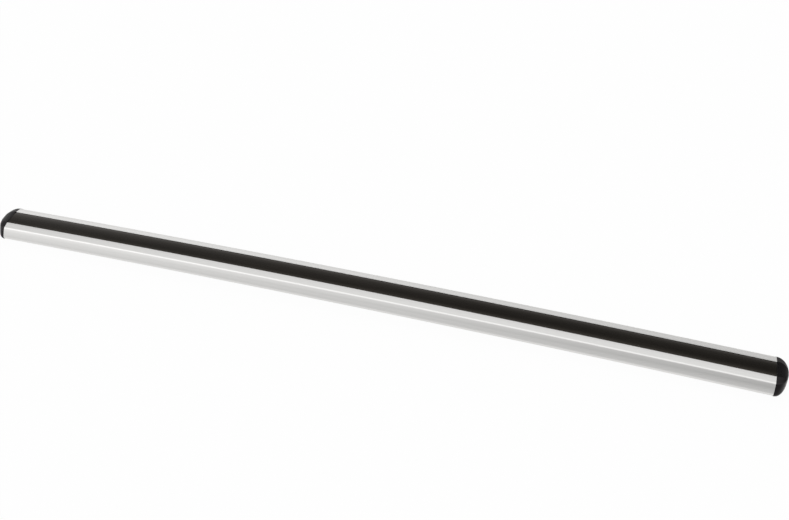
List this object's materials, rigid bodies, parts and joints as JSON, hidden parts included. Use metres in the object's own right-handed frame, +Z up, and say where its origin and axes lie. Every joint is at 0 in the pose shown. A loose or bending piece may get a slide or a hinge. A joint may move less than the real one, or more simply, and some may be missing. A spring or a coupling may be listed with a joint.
{
  "type": "roof rack crossbar",
  "caption": "Crowned aluminium crossbar of flat wing-like section, with a rubber strip in its top slot, a foot channel underneath and push-in domed end caps.",
  "frame": {"origin": "middle of the bar on the surface it lies on, under the lower edges of its end caps", "axes": "+X along the bar, +Z up through the top slot, Y across the bar"},
  "size_m": [1.2354, 0.0668, 0.0362],
  "materials": {
    "anodised_aluminium": "satin clear anodised",
    "black_rubber": "matt extruded rubber",
    "black_plastic": "fine moulded texture"
  },
  "bodies": {
    "bar": {"bar_extrusion": "anodised_aluminium", "rubber_strip": "black_rubber"},
    "left_cap": {"left_end_cap": "black_plastic"},
    "right_cap": {"right_end_cap": "black_plastic"}
  },
  "joints": [
    {"name": "left_cap_pull", "type": "slide", "parent": "bar", "child": "left_cap", "axis": [-0.9997, 0, -0.0243], "range_m": [0, 0.032]},
    {"name": "right_cap_pull", "type": "slide", "parent": "bar", "child": "right_cap", "axis": [0.9997, 0, -0.0243], "range_m": [0, 0.032]}
  ]
}
